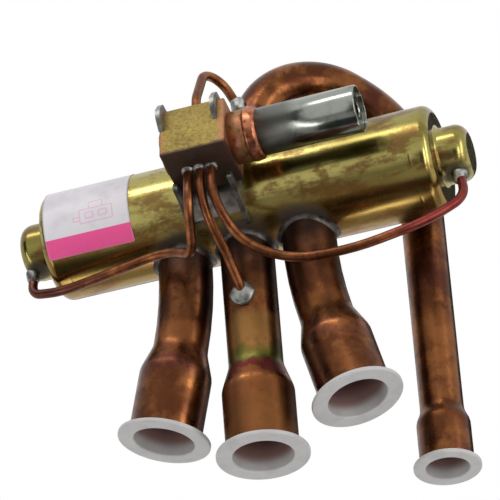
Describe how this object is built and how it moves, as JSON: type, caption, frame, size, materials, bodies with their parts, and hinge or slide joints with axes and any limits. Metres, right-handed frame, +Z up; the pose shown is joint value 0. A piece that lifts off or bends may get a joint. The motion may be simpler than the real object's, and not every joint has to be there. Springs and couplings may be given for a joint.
{
  "type": "four_way_reversing_valve",
  "caption": "Four way reversing valve for a heat pump: brass body with copper suction, branch and discharge pipes, pilot valve with armature tube, capillaries and pipe caps",
  "frame": {"origin": "centre of the suction pipe's mouth", "axes": "+Z up the suction pipe to the body, +X along the body towards the armature's end, -Y to the pilot valve"},
  "size_m": [0.1375, 0.0729, 0.137],
  "materials": {
    "brass_body": "polished, faint tarnish",
    "brass_milled": "milled, matt",
    "copper_pipe": "heat tinted copper",
    "copper_braze": "copper alloy braze",
    "solder": "dull solder",
    "stainless": "polished stainless steel",
    "steel": "grey steel",
    "cap_plastic": "translucent moulded",
    "slide_plastic": "moulded bearing plastic",
    "label_paper": "bare label with a pink band"
  },
  "bodies": {
    "valve": {"body_tube": "brass_body", "end_cap_left": "brass_body", "end_cap_right": "brass_body", "valve_seat": "brass_milled", "pilot_body": "brass_milled", "pilot_end_plug": "brass_milled", "pilot_seat": "brass_milled", "suction_pipe": "copper_pipe", "evaporator_pipe": "copper_pipe", "condenser_pipe": "copper_pipe", "discharge_pipe": "copper_pipe", "capillary_left": "copper_pipe", "capillary_suction": "copper_pipe", "capillary_right": "copper_pipe", "capillary_discharge": "copper_pipe", "braze_ring": "copper_braze", "braze_suction": "copper_braze", "braze_evaporator": "copper_braze", "braze_condenser": "copper_braze", "braze_discharge": "copper_braze", "solder_left": "solder", "solder_right": "solder", "solder_suction": "solder", "solder_discharge": "solder", "armature_tube": "stainless", "fixed_core": "stainless", "pilot_spring": "stainless", "bracket": "steel", "rating_label": "label_paper"},
    "main_slide": {"slide_block": "slide_plastic", "piston_link": "steel", "piston_left": "steel", "piston_right": "steel", "piston_seal_left": "slide_plastic", "piston_seal_right": "slide_plastic", "seal_retainer_left": "steel", "seal_retainer_right": "steel", "piston_screw_left": "steel", "piston_screw_right": "steel"},
    "pilot_plunger": {"plunger": "stainless", "pilot_carrier": "steel", "pilot_slide": "slide_plastic"},
    "cap_suction": {"plug_suction": "cap_plastic"},
    "cap_evaporator": {"plug_evaporator": "cap_plastic"},
    "cap_condenser": {"plug_condenser": "cap_plastic"},
    "cap_discharge": {"plug_discharge": "cap_plastic"}
  },
  "joints": [
    {"name": "main_shift", "type": "slide", "parent": "valve", "child": "main_slide", "axis": [1, 0, 0], "range_m": [0, 0.019]},
    {"name": "pilot_shift", "type": "slide", "parent": "valve", "child": "pilot_plunger", "axis": [1, 0, 0], "range_m": [0, 0.0035], "stiffness_N_per_m": 300, "springref_m": -0.004, "deforming": ["pilot_spring"]},
    {"name": "cap_suction_pull", "type": "slide", "parent": "valve", "child": "cap_suction", "axis": [0, 0, -1], "range_m": [0, 0.016]},
    {"name": "cap_evaporator_pull", "type": "slide", "parent": "valve", "child": "cap_evaporator", "axis": [-0.2317, 0, -0.9728], "range_m": [0, 0.016]},
    {"name": "cap_condenser_pull", "type": "slide", "parent": "valve", "child": "cap_condenser", "axis": [0.2317, 0, -0.9728], "range_m": [0, 0.016]},
    {"name": "cap_discharge_pull", "type": "slide", "parent": "valve", "child": "cap_discharge", "axis": [0, 0, -1], "range_m": [0, 0.016]}
  ]
}
